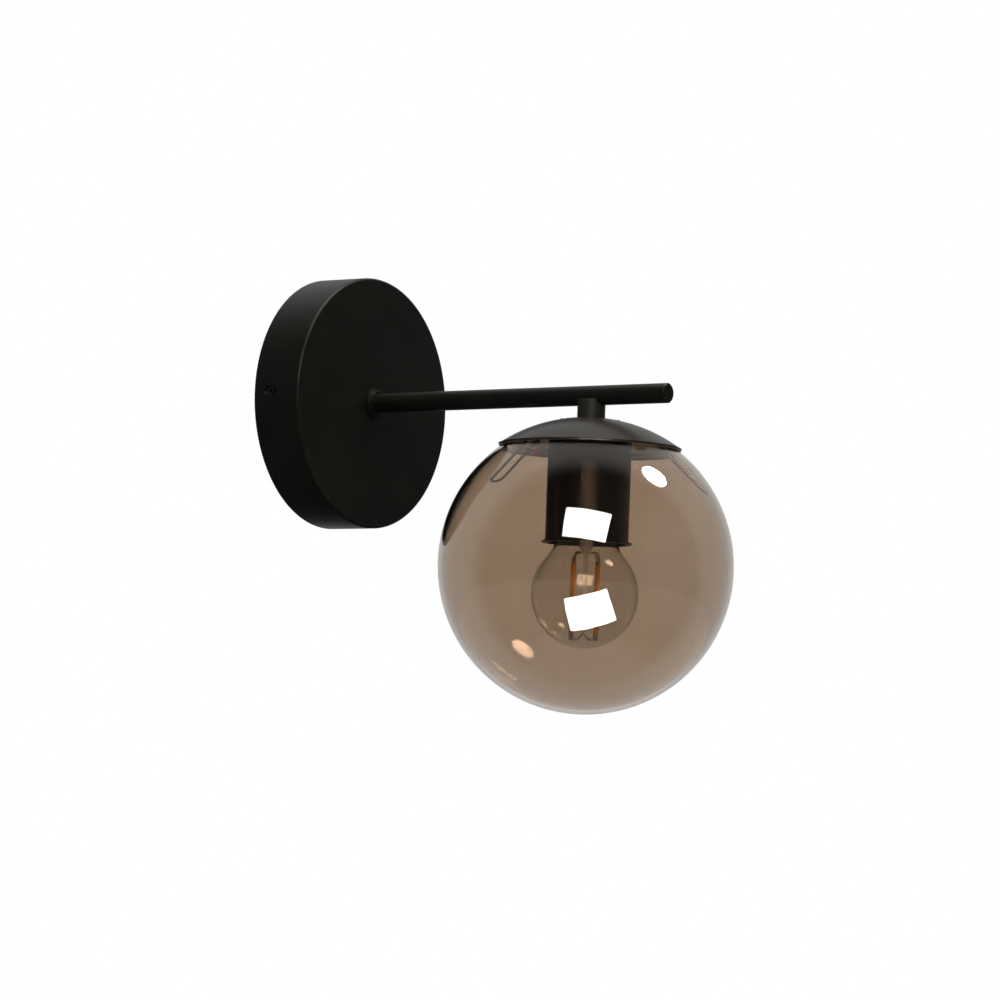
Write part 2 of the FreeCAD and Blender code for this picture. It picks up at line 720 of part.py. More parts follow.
# ---------------------------------------------------------------- lampholder
def make_lampholder():
    """Cup with an outward lip, the insulating body in it, the threaded shell and the sprung contact."""
    about_head("lampholder_cup", [
        (HEAD_HOLE, CUP_TOP),
        ("cup_radius", CUP_TOP),
        ("cup_radius", f"{CUP_FOOT} + cup_lip_thickness"),
        ("cup_radius + cup_lip", f"{CUP_FOOT} + cup_lip_thickness"),
        ("cup_radius + cup_lip", CUP_FOOT),
        ("cup_radius - cup_wall", CUP_FOOT),
        ("cup_radius - cup_wall", HOLDER_TOP),
        (HEAD_HOLE, HOLDER_TOP),
    ])
    about_head("lampholder_body", [
        (HEAD_HOLE, HOLDER_TOP),
        ("holder_radius", HOLDER_TOP),
        ("holder_radius", HOLDER_FOOT),
        (f"{SHELL_OUTER} + running_gap", HOLDER_FOOT),
        (f"{SHELL_OUTER} + running_gap", FLOOR),
        ("0", FLOOR),
        ("0", FLOOR_TOP),
        (HEAD_HOLE, FLOOR_TOP),
    ])
    about_head("lampholder_shell", [
        (SHELL_BORE, f"{FLOOR} - shell_length"),
        (SHELL_OUTER, f"{FLOOR} - shell_length"),
        (SHELL_OUTER, FLOOR),
        ("shell_window", FLOOR),
        ("shell_window", f"{FLOOR} - shell_wall"),
        (SHELL_BORE, f"{FLOOR} - shell_wall"),
    ])
    tongue = new_body("lampholder_contact")
    strip = outline(tongue, "XZ_Plane", [
        ("-contact_reach", FLOOR),
        ("-contact_reach", f"{FLOOR} - contact_thickness"),
        ("-contact_reach / 2", f"{FLOOR} - contact_thickness"),
        ("0", f"{FLOOR} - contact_thickness * 3"),
        ("contact_reach / 2", f"{FLOOR} - contact_thickness * 3"),
        ("contact_reach * 0.8", f"{FLOOR} - contact_thickness * 2"),
        ("contact_reach * 0.8", f"{FLOOR} - contact_thickness"),
        ("contact_reach / 2", f"{FLOOR} - contact_thickness * 2"),
        ("0", f"{FLOOR} - contact_thickness * 2"),
        ("-contact_reach / 2", FLOOR),
    ], "tongue_outline")
    pushed(tongue, "Pad", strip, "contact_width", "tongue", both=True)
    on_head(tongue)


def make_leads():
    """Live and neutral leads, side by side: from the terminal block into the arm's nipple, along
    the arm, down the stem and through the head's nipple to the floor of the lampholder."""
    beside = number("lead_radius + seat_gap * 2")
    head = -number("lamp_reach")
    foot = number(f"{FLOOR_TOP} - {HEAD_DROP} + seat_gap * 3")
    mouth = -number(f"{CANOPY_INNER} - arm_nipple_tail - lead_tail")
    bore = -number("strap_thickness + block_hole_depth")
    block = number("block_place - block_width / 2")
    tail = number("lead_tail")
    half = number("block_width / 2")
    for label, hand in (("live_lead", 1), ("neutral_lead", -1)):
        pitch = hand * number("block_pitch")
        route = [
            FreeCAD.Vector(hand * beside, head, foot),
            FreeCAD.Vector(hand * beside, head, 0),
            FreeCAD.Vector(hand * beside, mouth, 0),
            FreeCAD.Vector(block - tail, bore, pitch),
            FreeCAD.Vector(block + half, bore, pitch),
        ]
        lead = document.addObject("Part::Feature", label)
        lead.Shape = swept(route, number("lead_turn"), number("lead_radius"))


# ---------------------------------------------------------------- globe and bulb
def make_globe():
    """Blown glass globe of one wall thickness, its mouth ground flat."""
    about_head("globe", [
        ("0", "-globe_radius", "globe_radius", 1),
        ("globe_radius", "0", "globe_radius", 1),
        ("mouth_radius", MOUTH_HEIGHT),
        (f"sqrt({GLASS_INNER} ^ 2 - {MOUTH_HEIGHT} ^ 2)", MOUTH_HEIGHT, GLASS_INNER, -1),
        (GLASS_INNER, "0", GLASS_INNER, -1),
        ("0", f"-{GLASS_INNER}"),
    ])


def make_bulb():
    """Clear filament bulb: envelope, screw cap, insulator, tip, glass mount, filaments and wires."""
    glass_in = "(bulb_radius - bulb_glass)"
    seat = "(cap_radius - cap_wall - seat_gap)"
    slope = "bulb_shoulder_angle"
    about_head("bulb_envelope", [
        ("0", f"{BULB_CENTRE} - bulb_radius", "bulb_radius", 1),
        (f"bulb_radius * cos({slope})", f"bulb_radius * sin({slope}) + {BULB_CENTRE}", NECK_TURN, -1),
        ("bulb_neck_radius", NECK_HEIGHT),
        ("bulb_neck_radius", f"{CAP_FOOT} - running_gap"),
        (seat, CAP_FOOT),
        (seat, f"{CAP_FOOT} + bulb_collar"),
        (f"{seat} - bulb_glass", f"{CAP_FOOT} + bulb_collar"),
        (f"{seat} - bulb_glass", CAP_FOOT),
        ("bulb_neck_radius - bulb_glass", f"{CAP_FOOT} - running_gap"),
        ("bulb_neck_radius - bulb_glass", NECK_HEIGHT, f"{NECK_TURN} + bulb_glass", 1),
        (f"{glass_in} * cos({slope})", f"{glass_in} * sin({slope}) + {BULB_CENTRE}", glass_in, -1),
        ("0", f"{BULB_CENTRE} - {glass_in}"),
    ])
    about_head("bulb_cap", [
        ("cap_radius - cap_wall", CAP_FOOT),
        ("cap_radius", CAP_FOOT),
        ("cap_radius", CAP_SHOULDER),
        ("insulator_radius", CAP_TOP),
        ("insulator_radius", f"{CAP_TOP} - cap_wall * 1.3"),
        ("cap_radius - cap_wall", f"{CAP_SHOULDER} - cap_wall"),
    ])
    about_head("bulb_insulator", [
        ("0", f"{CAP_TOP} - cap_wall"),
        ("insulator_radius - seat_gap", f"{CAP_TOP} - cap_wall"),
        ("insulator_radius - seat_gap", CAP_TOP),
        ("tip_radius", f"{CAP_TOP} + tip_height * 0.6"),
        ("0", f"{CAP_TOP} + tip_height * 0.6"),
    ])
    about_head("bulb_contact", [
        ("0", f"{CAP_TOP} + tip_height * 0.6"),
        ("tip_radius * 0.9", f"{CAP_TOP} + tip_height * 0.6"),
        ("tip_radius * 0.7", TIP),
        ("0", TIP),
    ])
    about_head("bulb_mount", [
        ("0", MOUNT_LOW),
        ("mount_rod", MOUNT_LOW),
        ("mount_rod", f"{FILAMENT_TOP} + mount_radius"),
        ("mount_radius", f"{FILAMENT_TOP} + mount_radius * 2"),
        ("mount_radius", f"{CAP_FOOT} - mount_flare"),
        (f"{seat} - bulb_glass - seat_gap", f"{CAP_FOOT} + bulb_collar / 2"),
        (f"{seat} - bulb_glass - seat_gap", f"{CAP_FOOT} + bulb_collar"),
        ("0", f"{CAP_FOOT} + bulb_collar"),
    ])
    make_filaments()


def make_filaments():
    """Four straight filaments round the mount and the wires that hold them at both ends."""
    filaments = []
    wires = []
    thin = number("support_wire")
    seat = number("support_wire + seat_gap")
    spread = number("filament_spread")
    top = number(FILAMENT_TOP)
    low = number(f"{FILAMENT_TOP} - filament_length")
    rod_end = number(f"support_wire + seat_gap - {MOUNT_LOW}")
    up = FreeCAD.Vector(0, 0, 1)
    for index in range(FILAMENTS):
        turn = f"(filament_turn + {360 / FILAMENTS * index})"
        rod = part("Cylinder", "filament_%d" % index, Radius="filament_radius", Height="filament_length")
        placed(rod, f"filament_spread * cos({turn})",
               f"filament_spread * sin({turn})", f"{FILAMENT_TOP} - filament_length")
        filaments.append(rod)
        out = FreeCAD.Rotation(up, number(turn)).multVec(FreeCAD.Vector(1, 0, 0))
        upper = [out * number("mount_radius * 0.9") + up * number(f"{FILAMENT_TOP} + mount_radius * 1.2"),
                 out * (spread * 0.8) + up * (top + spread * 0.5),
                 out * spread + up * (top + seat)]
        lower = [out * (thin + seat) - up * rod_end,
                 out * (spread * 0.5) + up * (low - thin * 5),
                 out * spread + up * (low - seat)]
        for run in (upper, lower):
            wires.append(swept(run, thin * 2, thin))
    on_head(grouped("bulb_filaments", filaments))
    head_feature("bulb_support_wires", Part.makeCompound(wires))


# ---------------------------------------------------------------- build, check and write
SUB_PARTS = (
    "canopy", "mounting_bracket", "canopy_side_screws", "earth_washer", "earth_screw", "terminal_block",
    "arm_collar", "arm_tube", "arm_end_cap", "arm_nipple", "arm_washer", "arm_lock_nut",
    "stem", "head_nipple", "head_spacer", "dome_cap", "spring_clips",
    "dome_earth_stud", "dome_earth_nut", "earth_ring_terminal", "earth_sleeve",
    "lampholder_cup", "lampholder_body", "lampholder_shell", "lampholder_contact",
    "live_lead", "neutral_lead",
    "globe", "bulb_envelope", "bulb_cap", "bulb_insulator", "bulb_contact",
    "bulb_mount", "bulb_filaments", "bulb_support_wires",
)

make_canopy()
make_bracket()
make_side_screws()
make_earth_screw()
make_terminal_block()
make_arm()
make_stem()
make_dome()
make_clips()
make_dome_earth()
make_lampholder()
make_leads()
make_globe()
make_bulb()
document.recompute()

for thing in document.Objects:
    if "Invalid" in thing.State or "Error" in thing.State:
        raise ValueError("%s failed: %s" % (thing.Label, thing.State))

os.makedirs("parts", exist_ok=True)
for label in SUB_PARTS:
    shape = document.getObjectsByLabel(label)[0].Shape
    if shape.isNull() or not shape.isValid():
        raise ValueError(label + " has no sound shape")
    shape.exportStep("parts/%s.step" % label)
    print(label, len(shape.Solids), round(shape.Volume, 2))
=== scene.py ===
"""Looks of the globe wall sconce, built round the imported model.

Metres, in the model's own frame: +Z up, the wall is the plane y = 0 and the arm runs along -Y.
"""

import math

import bmesh
import bpy
from mathutils import Matrix, Vector


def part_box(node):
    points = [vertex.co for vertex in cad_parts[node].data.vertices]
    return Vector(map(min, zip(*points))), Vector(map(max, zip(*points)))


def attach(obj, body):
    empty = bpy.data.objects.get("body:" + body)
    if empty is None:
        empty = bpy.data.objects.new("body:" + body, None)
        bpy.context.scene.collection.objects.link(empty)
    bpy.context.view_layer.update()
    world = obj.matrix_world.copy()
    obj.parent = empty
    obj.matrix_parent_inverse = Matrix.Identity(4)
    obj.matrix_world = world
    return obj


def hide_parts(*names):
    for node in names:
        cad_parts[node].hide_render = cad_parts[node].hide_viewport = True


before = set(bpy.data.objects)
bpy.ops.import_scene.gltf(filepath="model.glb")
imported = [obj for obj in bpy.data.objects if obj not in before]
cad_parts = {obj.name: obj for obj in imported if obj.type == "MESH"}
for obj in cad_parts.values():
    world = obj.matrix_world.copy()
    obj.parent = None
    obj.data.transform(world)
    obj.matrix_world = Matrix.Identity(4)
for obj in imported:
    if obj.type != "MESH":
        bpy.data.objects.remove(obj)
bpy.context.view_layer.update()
MM = 0.001
X_AXIS = Vector((1, 0, 0))
Y_AXIS = Vector((0, 1, 0))
Z_AXIS = Vector((0, 0, 1))


# ---------------------------------------------------------------- sizes from the frame
def middle(node):
    low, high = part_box(node)
    return (low + high) / 2


def half_width(node):
    low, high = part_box(node)
    return (high.x - low.x) / 2


GLOBE_RADIUS = half_width("globe")
GLOBE = Vector((0, middle("globe").y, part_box("globe")[0].z + GLOBE_RADIUS))
LAMP_AXIS = Vector((0, GLOBE.y, 0))
GLASS_WALL = 2.0 * MM

# camera, fitted to the outlines of the canopy, arm and globe
CAMERA_TURN = math.radians(-56.75)
CAMERA_RISE = math.radians(-0.04)
CAMERA_ROLL = math.radians(-0.377)
CAMERA_DISTANCE = 2.1006
CAMERA_LENS = 148.87
LOOK_TURN = math.radians(1.283)
LOOK_RISE = math.radians(-0.936)
VIEW_UNDER_ARM = math.radians(-4.5)

# brightness of what gloss and soft light see round the object, where white is 1
DIM_ROOM = 0.03
SHARP_SWEEP = 0.62
SOFT_SWEEP = 0.50
PALE_BELOW = 0.40
PALE_RIGHT = 0.32
DIFFUSE_ROOM = 0.42

# how far the lamps stand from the globe; those that only glass shows stand a little nearer
LAMP_DISTANCE = 1.5
OVERHEAD_DISTANCE = 1.6
GLINT_DISTANCE = 1.49
BULB_GLINT_DISTANCE = 1.48

# colours of the lamps, as linear colours
WARM = (1.0, 0.94, 0.87)
WHITE = (1.0, 1.0, 1.0)

# finishes, as linear colours
POWDER_BLACK = (0.0046, 0.0050, 0.0036)
# the dome's black is the same powder coat as POWDER_BLACK, painted lighter: a painted sheen of the light
# from above
DOME_BLACK_PAINTED_SHEEN = (0.0150, 0.0125, 0.0095)
# the stem's black is the same powder coat as POWDER_BLACK, painted lighter as a painted sheen
STEM_BLACK_PAINTED_SHEEN = (0.0180, 0.0165, 0.0110)
DOME_INSIDE = (0.62, 0.59, 0.55)
CUP_BLACK = (0.0060, 0.0058, 0.0046)
SMOKE_TINT = (0.53, 0.44, 0.355)


# ---------------------------------------------------------------- node helpers
def socket(group, name, kind, way, value=None):
    made = group.interface.new_socket(name=name, in_out=way, socket_type=kind)
    if value is not None:
        made.default_value = value
    return made


def add_node(tree, kind, **values):
    """A node of a kind; values name its properties or, where it has none, its input sockets."""
    node = tree.nodes.new(kind)
    for name, value in values.items():
        if hasattr(node, name):
            setattr(node, name, value)
        else:
            node.inputs[name.replace("_", " ")].default_value = value
    return node


def link(tree, source, output, target, entry):
    tree.links.new(source.outputs[output], target.inputs[entry])


def group_node(tree, group, **values):
    node = tree.nodes.new("ShaderNodeGroup")
    node.node_tree = group
    for name, value in values.items():
        node.inputs[name.replace("_", " ")].default_value = value
    return node


def ramp(tree, low, high, low_place=0.0, high_place=1.0):
    """A colour ramp from a low to a high colour."""
    node = tree.nodes.new("ShaderNodeValToRGB")
    node.color_ramp.elements[0].color = (*low, 1)
    node.color_ramp.elements[0].position = low_place
    node.color_ramp.elements[1].color = (*high, 1)
    node.color_ramp.elements[1].position = high_place
    return node


def scaled(colour, share):
    return tuple(part * share for part in colour)


def fine_grain_group():
    """Fine grain of a sprayed or moulded surface: a mottle, a roughness and a height."""
    group = bpy.data.node_groups.new("fine_grain", "ShaderNodeTree")
    socket(group, "Grain Size", "NodeSocketFloat", "INPUT", 2200.0)
    socket(group, "Roughness Low", "NodeSocketFloat", "INPUT", 0.38)
    socket(group, "Roughness High", "NodeSocketFloat", "INPUT", 0.52)
    socket(group, "Mottle", "NodeSocketFloat", "OUTPUT")
    socket(group, "Roughness", "NodeSocketFloat", "OUTPUT")
    socket(group, "Height", "NodeSocketFloat", "OUTPUT")
    inputs = group.nodes.new("NodeGroupInput")
    outputs = group.nodes.new("NodeGroupOutput")
    place = group.nodes.new("ShaderNodeTexCoord")
    grain = add_node(group, "ShaderNodeTexNoise", Detail=3.0, Roughness=0.55)
    drift = add_node(group, "ShaderNodeTexNoise", Scale=34.0, Detail=4.0, Roughness=0.6)
    wear = add_node(group, "ShaderNodeMapRange", From_Min=0.3, From_Max=0.7)
    link(group, place, "Object", grain, "Vector")
    link(group, place, "Object", drift, "Vector")
    link(group, inputs, "Grain Size", grain, "Scale")
    link(group, drift, "Fac", wear, "Value")
    link(group, inputs, "Roughness Low", wear, "To Min")
    link(group, inputs, "Roughness High", wear, "To Max")
    link(group, drift, "Fac", outputs, "Mottle")
    link(group, wear, "Result", outputs, "Roughness")
    link(group, grain, "Fac", outputs, "Height")
    return group


def drawn_lines_group():
    """Fine lines round or along drawn, turned and rolled metal."""
    group = bpy.data.node_groups.new("drawn_lines", "ShaderNodeTree")
    socket(group, "Stretch", "NodeSocketVector", "INPUT", (60.0, 60.0, 2600.0))
    socket(group, "Roughness Low", "NodeSocketFloat", "INPUT", 0.25)
    socket(group, "Roughness High", "NodeSocketFloat", "INPUT", 0.42)
    socket(group, "Lines", "NodeSocketFloat", "OUTPUT")
    socket(group, "Roughness", "NodeSocketFloat", "OUTPUT")
    inputs = group.nodes.new("NodeGroupInput")
    outputs = group.nodes.new("NodeGroupOutput")
    place = group.nodes.new("ShaderNodeTexCoord")
    stretched = add_node(group, "ShaderNodeVectorMath", operation="MULTIPLY")
    lines = add_node(group, "ShaderNodeTexNoise", Scale=1.0, Detail=5.0, Roughness=0.65)
    spread = add_node(group, "ShaderNodeMapRange", From_Min=0.3, From_Max=0.7)
    group.links.new(place.outputs["Object"], stretched.inputs[0])
    group.links.new(inputs.outputs["Stretch"], stretched.inputs[1])
    link(group, stretched, "Vector", lines, "Vector")
    link(group, lines, "Fac", spread, "Value")
    link(group, inputs, "Roughness Low", spread, "To Min")
    link(group, inputs, "Roughness High", spread, "To Max")
    link(group, lines, "Fac", outputs, "Lines")
    link(group, spread, "Result", outputs, "Roughness")
    return group


FINE_GRAIN = fine_grain_group()
DRAWN_LINES = drawn_lines_group()


def new_material(name):
    material = bpy.data.materials.new(name)
    material.use_nodes = True
    return material, material.node_tree, material.node_tree.nodes["Principled BSDF"]


def bumped(tree, shader, source, output, strength, distance):
    bump = add_node(tree, "ShaderNodeBump", Strength=strength, Distance=distance)
    link(tree, source, output, bump, "Height")
    link(tree, bump, "Normal", shader, "Normal")


# ---------------------------------------------------------------- opaque finishes
def grained(name, colour, grain_size, smooth, rough, height, contrast=0.18, metallic=0.0, gloss=0.5):
    """A sprayed, moulded or glazed finish: one colour with a soft mottle over a fine grain."""
    material, tree, shader = new_material(name)
    grain = group_node(tree, FINE_GRAIN, Grain_Size=grain_size, Roughness_Low=smooth, Roughness_High=rough)
    tone = ramp(tree, scaled(colour, 1 - contrast), scaled(colour, 1 + contrast), 0.3, 0.7)
    link(tree, grain, "Mottle", tone, "Fac")
    link(tree, tone, "Color", shader, "Base Color")
    link(tree, grain, "Roughness", shader, "Roughness")
    shader.inputs["Metallic"].default_value = metallic
    shader.inputs["Specular IOR Level"].default_value = gloss
    bumped(tree, shader, grain, "Height", 0.35, height)
    return material


def lined(name, colour, stretch, smooth, rough, height, contrast=0.15):
    """Bare metal with the fine lines of drawing or turning."""
    material, tree, shader = new_material(name)
    lines = group_node(tree, DRAWN_LINES, Stretch=stretch, Roughness_Low=smooth, Roughness_High=rough)
    tone = ramp(tree, scaled(colour, 1 - contrast), scaled(colour, 1 + contrast * 0.4), 0.3, 0.7)
    link(tree, lines, "Lines", tone, "Fac")
    link(tree, tone, "Color", shader, "Base Color")
    link(tree, lines, "Roughness", shader, "Roughness")
    shader.inputs["Metallic"].default_value = 1.0
    bumped(tree, shader, lines, "Lines", 0.3, height)
    return material


def dome_finish():
    """Satin black outside, its colour raised above the other black parts as a painted sheen of the light
    from above, and pale grey primer inside.

    The inside is what lies nearer the dome's centre than its wall does, above the lip.
    """
    material, tree, shader = new_material("dome_paint")
    place = tree.nodes.new("ShaderNodeTexCoord")
    reach = add_node(tree, "ShaderNodeVectorMath", operation="DISTANCE")
    reach.inputs[1].default_value = DOME_CENTRE
    tree.links.new(place.outputs["Object"], reach.inputs[0])
    inside = add_node(tree, "ShaderNodeMath", operation="LESS_THAN")
    inside.inputs[1].default_value = DOME_RADIUS - DOME_WALL * 0.6
    tree.links.new(reach.outputs["Value"], inside.inputs[0])
    height = tree.nodes.new("ShaderNodeSeparateXYZ")
    over_edge = add_node(tree, "ShaderNodeMath", operation="GREATER_THAN")
    over_edge.inputs[1].default_value = GLOBE.z + DOME_LOW + LIP_HEIGHT
    grey = add_node(tree, "ShaderNodeMath", operation="MULTIPLY")
    tree.links.new(place.outputs["Object"], height.inputs[0])
    tree.links.new(height.outputs["Z"], over_edge.inputs[0])
    tree.links.new(inside.outputs[0], grey.inputs[0])
    tree.links.new(over_edge.outputs[0], grey.inputs[1])
    grain = group_node(tree, FINE_GRAIN, Grain_Size=2600.0, Roughness_Low=0.27, Roughness_High=0.36)
    # outside colour: the black powder coat raised as a painted sheen
    outer = ramp(tree, scaled(DOME_BLACK_PAINTED_SHEEN, 0.85), scaled(DOME_BLACK_PAINTED_SHEEN, 1.15), 0.3, 0.7)
    inner = ramp(tree, scaled(DOME_INSIDE, 0.93), scaled(DOME_INSIDE, 1.04), 0.3, 0.7)
    mixed = add_node(tree, "ShaderNodeMix", data_type="RGBA")
    link(tree, grain, "Mottle", outer, "Fac")
    link(tree, grain, "Mottle", inner, "Fac")
    tree.links.new(grey.outputs[0], mixed.inputs["Factor"])
    tree.links.new(outer.outputs["Color"], mixed.inputs[6])
    tree.links.new(inner.outputs["Color"], mixed.inputs[7])
    tree.links.new(mixed.outputs[2], shader.inputs["Base Color"])
    link(tree, grain, "Roughness", shader, "Roughness")
    bumped(tree, shader, grain, "Height", 0.25, 0.03 * MM)
    return material


# ---------------------------------------------------------------- glass
def clear_finish(name, tint, ior, level=0.5, transmission=1.0):
    """Smooth glass whose tint drifts faintly, as blowing leaves it."""
    material, tree, shader = new_material(name)
    place = tree.nodes.new("ShaderNodeTexCoord")
    flow = add_node(tree, "ShaderNodeTexNoise", Scale=16.0, Detail=2.0, Roughness=0.4)
    link(tree, place, "Object", flow, "Vector")
    tone = ramp(tree, scaled(tint, 0.97), scaled(tint, 1.0 / max(1.0, max(tint) * 1.03)), 0.35, 0.65)
    link(tree, flow, "Fac", tone, "Fac")
    link(tree, tone, "Color", shader, "Base Color")
    shader.inputs["Transmission Weight"].default_value = transmission
    shader.inputs["Roughness"].default_value = 0.0
    shader.inputs["IOR"].default_value = ior
    shader.inputs["Specular IOR Level"].default_value = level
    return material


# ---------------------------------------------------------------- mesh helpers
def arc(across, up, radius, first, last, count):
    """Points of an arc about (across, up), between two angles in degrees, without its end point."""
    points = []
    for step in range(count):
        angle = math.radians(first + (last - first) * step / count)
        points.append((across + radius * math.cos(angle), up + radius * math.sin(angle)))
    return points


def eased(corners, size, segments=3):
    """A closed outline with each corner rounded by a small radius, where its sides have room."""
    points = []
    count = len(corners)
    for index, corner in enumerate(corners):
        spot = Vector(corner)
        before = Vector(corners[index - 1]) - spot
        after = Vector(corners[(index + 1) % count]) - spot
        bend = before.angle(-after, 0.0)
        if bend < math.radians(20) or spot.x < 1e-6:
            points.append(spot)
            continue
        setback = min(size * math.tan(bend / 2), before.length * 0.45, after.length * 0.45)
        start = spot + before.normalized() * setback
        end = spot + after.normalized() * setback
        for step in range(segments + 1):
            share = step / segments
            first = start.lerp(spot, share)
            second = spot.lerp(end, share)
            points.append(first.lerp(second, share))
    return points


def finished(shape, name, body, material, nodes=(), sharp=32):
    """Turn a bmesh into a piece that rides on a body and stands for some nodes."""
    mesh = bpy.data.meshes.new(name)
    shape.to_mesh(mesh)
    shape.free()
    mesh.materials.append(material)
    mesh.shade_smooth()
    mesh.set_sharp_from_angle(angle=math.radians(sharp))
    piece = bpy.data.objects.new(name, mesh)
    bpy.context.scene.collection.objects.link(piece)
    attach(piece, body)
    if nodes:
        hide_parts(*nodes)
    return piece


def turned(outline, centre, axis=Z_AXIS, steps=128, closed=True):
    """A bmesh of revolution: outline points are (radius, distance along the axis from the centre)."""
    side = X_AXIS
    shape = bmesh.new()
    verts = [shape.verts.new(Vector(centre) + side * point[0] + axis * point[1]) for point in outline]
    for first, second in zip(verts, verts[1:]):
        shape.edges.new((first, second))
    if closed:
        shape.edges.new((verts[-1], verts[0]))
    bmesh.ops.spin(shape, geom=shape.verts[:] + shape.edges[:], cent=centre, axis=axis,
                   angle=math.tau, steps=steps, use_merge=True, use_duplicate=False)
    bmesh.ops.remove_doubles(shape, verts=shape.verts[:], dist=0.002 * MM)
    bmesh.ops.recalc_face_normals(shape, faces=shape.faces[:])
    return shape


def cut(shape, tools):
    """The shape with the tools' solids taken away."""
    def as_object(source, name):
        mesh = bpy.data.meshes.new(name)
        source.to_mesh(mesh)
        source.free()
        made = bpy.data.objects.new(name, mesh)
        bpy.context.scene.collection.objects.link(made)
        return made

    base = as_object(shape, "base")
    cutters = [as_object(tool, "cutter") for tool in tools]
    for cutter in cutters:
        step = base.modifiers.new("cut", "BOOLEAN")
        step.object = cutter
        step.operation = "DIFFERENCE"
        step.solver = "EXACT"
    graph = bpy.context.evaluated_depsgraph_get()
    mesh = bpy.data.meshes.new_from_object(base.evaluated_get(graph))
    result = bmesh.new()
    result.from_mesh(mesh)
    bpy.data.meshes.remove(mesh)
    for leftover in [base] + cutters:
        bpy.data.objects.remove(leftover)
    return result


def rod(start, end, radius, segments=12):
    """A closed round rod between two points."""
    start, end = Vector(start), Vector(end)
    shape = bmesh.new()
    bmesh.ops.create_cone(shape, cap_ends=True, segments=segments, radius1=radius, radius2=radius,
                          depth=(end - start).length)
    turn = (end - start).to_track_quat("Z", "Y").to_matrix().to_4x4()
    bmesh.ops.transform(shape, matrix=Matrix.Translation((start + end) / 2) @ turn, verts=shape.verts[:])
    return shape


def merged(shapes):
    """Several bmeshes as one."""
    whole = shapes[0]
    for shape in shapes[1:]:
        mesh = bpy.data.meshes.new("part")
        shape.to_mesh(mesh)
        shape.free()
        whole.from_mesh(mesh)
        bpy.data.meshes.remove(mesh)
    return whole


def rounded_bar(outline, depth):
    """A slab of a slot's outline, centred on the origin and standing along Z."""
    shape = bmesh.new()
    face = shape.faces.new([shape.verts.new((x, y, -depth / 2)) for x, y in outline])
    pushed = bmesh.ops.extrude_face_region(shape, geom=[face])
    verts = [item for item in pushed["geom"] if isinstance(item, bmesh.types.BMVert)]
    bmesh.ops.translate(shape, vec=(0, 0, depth), verts=verts)
    bmesh.ops.recalc_face_normals(shape, faces=shape.faces[:])
    return shape


def slot_outline(length, width, steps=12):
    reach = (length - width) / 2
    right = arc(reach, 0, width / 2, -90, 90, steps) + [(reach, width / 2)]
    return right + [(-x, -y) for x, y in right]


# ---------------------------------------------------------------- places worked out from the frame
DOME_LOW, DOME_HIGH = (corner.z - GLOBE.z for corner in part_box("dome_cap"))
DOME_WALL = 0.8 * MM
DOME_RADIUS = GLOBE_RADIUS + 5.0 * MM
RIM_RADIUS = half_width("dome_cap")
SEAT_RADIUS = half_width("stem") + 0.5 * MM
DOME_HEIGHT = DOME_HIGH - math.sqrt(DOME_RADIUS ** 2 - SEAT_RADIUS ** 2)
DOME_CENTRE = GLOBE + Z_AXIS * DOME_HEIGHT
NIPPLE_RADIUS = half_width("head_nipple")
CLIP_FIRST = 285.0
CLIPS = 3
CLIP_SLOT_PLACE = 17.0 * MM
CLIP_SLOT_SIZE = (4.4 * MM, 10.8 * MM, 30 * MM)
LIP_HEIGHT = 1.1 * MM
LIP_ROUND = 0.3 * MM
LIP_BULGE = 0.25 * MM
FILAMENT_TURN = -6.0
FILAMENTS = 4

# ---------------------------------------------------------------- finishes in use
powder = grained("black_paint", POWDER_BLACK, 2300.0, 0.33, 0.43, 0.05 * MM, gloss=0.4)
dome_paint = dome_finish()
# the stem's finish: the black powder coat with its colour raised as a painted sheen
stem_paint_painted_sheen = grained("stem_paint_painted_sheen", STEM_BLACK_PAINTED_SHEEN, 2300.0, 0.33, 0.43, 0.04 * MM)
cup_paint = grained("black_cup", CUP_BLACK, 2600.0, 0.30, 0.40, 0.03 * MM, gloss=0.28)
black_oxide = grained("black_screw", (0.02, 0.02, 0.02), 2600.0, 0.35, 0.5, 0.02 * MM, metallic=0.6)
zinc = lined("zinc_steel", (0.60, 0.60, 0.58), (900.0, 60.0, 60.0), 0.26, 0.44, 0.02 * MM)
spring_wire = lined("spring_steel", (0.16, 0.145, 0.125), (120.0, 120.0, 900.0), 0.25, 0.4, 0.01 * MM)
brass = lined("brass_parts", (0.72, 0.53, 0.26), (60.0, 60.0, 1800.0), 0.2, 0.36, 0.01 * MM)
nickel = lined("nickel_cap", (0.74, 0.72, 0.68), (60.0, 60.0, 2400.0), 0.12, 0.26, 0.01 * MM)
solder = grained("solder_tip", (0.55, 0.55, 0.54), 1200.0, 0.3, 0.5, 0.08 * MM, metallic=1.0)
nylon = grained("white_plastic", (0.80, 0.79, 0.74), 1400.0, 0.34, 0.5, 0.02 * MM, contrast=0.04)
brown_vinyl = grained("brown_sheath", (0.16, 0.075, 0.035), 1500.0, 0.3, 0.42, 0.02 * MM)
blue_vinyl = grained("blue_sheath", (0.035, 0.12, 0.36), 1500.0, 0.3, 0.42, 0.02 * MM)
vinyl = grained("red_sleeve", (0.42, 0.045, 0.04), 1500.0, 0.3, 0.42, 0.02 * MM)
ceramic = grained("holder_ceramic", (0.80, 0.78, 0.72), 500.0, 0.12, 0.22, 0.03 * MM, contrast=0.04)
vitrite = grained("cap_glass", (0.012, 0.012, 0.014), 700.0, 0.06, 0.16, 0.02 * MM)
amber = grained("filament_amber", (0.72, 0.30, 0.06), 3000.0, 0.38, 0.55, 0.05 * MM)
support = lined("support_wire", (0.42, 0.39, 0.35), (200.0, 200.0, 900.0), 0.22, 0.38, 0.005 * MM)
